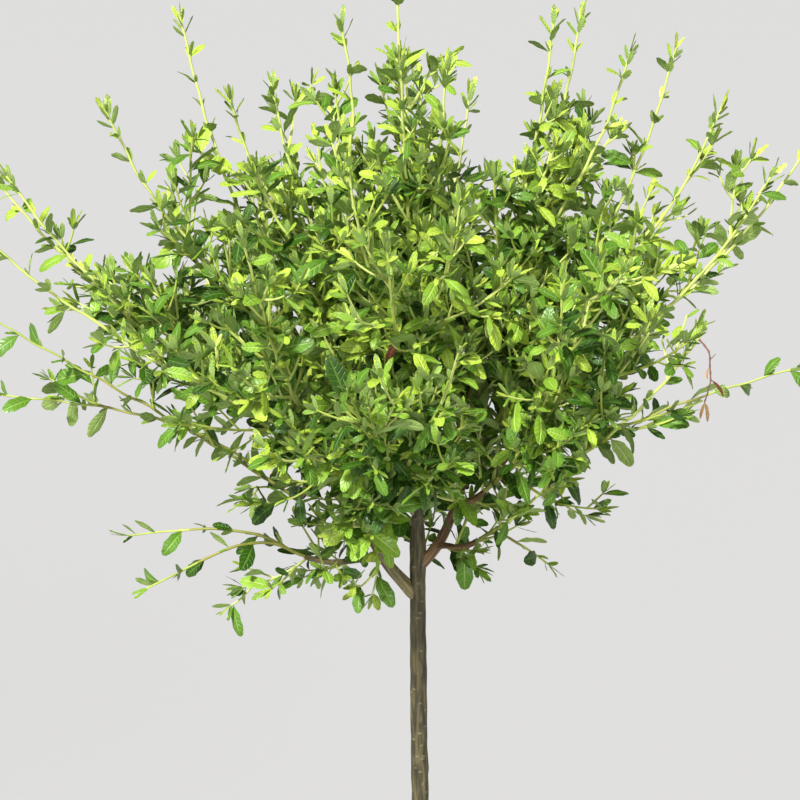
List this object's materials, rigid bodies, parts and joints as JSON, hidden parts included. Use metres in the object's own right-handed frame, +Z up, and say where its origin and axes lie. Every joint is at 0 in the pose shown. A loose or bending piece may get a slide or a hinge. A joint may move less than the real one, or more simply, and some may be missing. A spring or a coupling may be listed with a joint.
{
  "type": "potted california lilac standard",
  "caption": "Small evergreen shrub grown as a standard: a clear slender stem with a loose round crown of fine leafy shoots, in a round tapered pot.",
  "frame": {"origin": "middle of the pot's flat underside", "axes": "+Z up along the stem, -Y towards the side that the picture shows, +X to that side's right"},
  "size_m": [0.5372, 0.4399, 0.9087],
  "materials": {
    "pot": "matt moulded anthracite plastic",
    "soil": "crumbly dark potting soil",
    "bark": "smooth olive brown bark with raised pores",
    "foliage": "small glossy green leaves on yellow-green twigs"
  },
  "bodies": {
    "root": {"pot": "pot", "soil": "soil", "trunk": "bark", "bough_crown_top": "bark", "bough_left_arch": "bark", "bough_right_high": "bark", "bough_back_low": "bark", "bough_left_top": "bark", "bough_right_top": "bark", "bough_front_high": "bark", "bough_back_high": "bark", "bough_left_high": "bark", "bough_left_out": "bark", "bough_left_low": "bark", "bough_front_low": "bark", "bough_front_left": "bark", "bough_right_arch": "bark", "bough_right_out": "bark", "bough_right_low": "bark", "bough_front_right": "bark", "bough_back_left": "bark", "bough_back_right": "bark", "foliage_crown_top": "foliage", "foliage_left_arch": "foliage", "foliage_right_high": "foliage", "foliage_back_low": "foliage", "foliage_left_top": "foliage", "foliage_right_top": "foliage", "foliage_front_high": "foliage", "foliage_back_high": "foliage", "foliage_left_high": "foliage", "foliage_left_out": "foliage", "foliage_left_low": "foliage", "foliage_front_low": "foliage", "foliage_front_left": "foliage", "foliage_right_arch": "foliage", "foliage_right_out": "foliage", "foliage_right_low": "foliage", "foliage_front_right": "foliage", "foliage_back_left": "foliage", "foliage_back_right": "foliage"}
  },
  "joints": []
}
